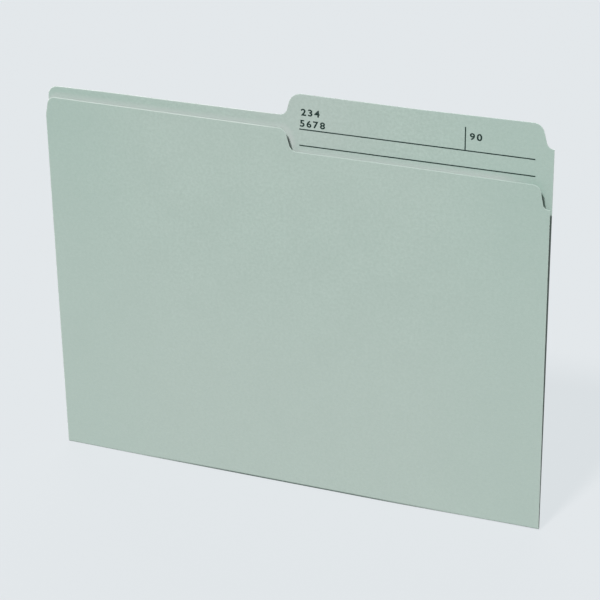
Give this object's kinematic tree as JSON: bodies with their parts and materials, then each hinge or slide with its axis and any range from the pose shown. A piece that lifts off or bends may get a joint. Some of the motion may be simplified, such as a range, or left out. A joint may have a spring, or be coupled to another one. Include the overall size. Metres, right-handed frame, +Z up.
{
  "type": "file folder",
  "caption": "Letter-size file folder of creased card with a half-cut tab on the right, a lower front leaf and a narrow fold strip; it opens flat on its fold.",
  "frame": {"origin": "centre of the fold strip's underside, the lowest face of the folder when it is held upright on its fold", "axes": "+X along the fold, to the right seen from the front; +Y from the front leaf to the back leaf; +Z up, from the fold to the tab"},
  "size_m": [0.2984, 0.0041, 0.2413],
  "materials": {
    "card": "matte",
    "print": "matte"
  },
  "bodies": {
    "fold": {"fold_strip": "card"},
    "front": {"front_leaf": "card"},
    "back": {"back_leaf": "card"}
  },
  "joints": [
    {"name": "front_crease", "type": "hinge", "parent": "fold", "child": "front", "pos_m": [0, -0.0007, 0.00014], "axis": [1, 0, 0], "range_deg": [-0.41, 89.69]},
    {"name": "back_crease", "type": "hinge", "parent": "fold", "child": "back", "pos_m": [0, 0.0007, 0.00014], "axis": [-1, 0, 0], "range_deg": [-0.41, 89.69]}
  ],
  "couplings": [
    {"joint": "back_crease", "follows": "front_crease", "ratio": 1}
  ]
}
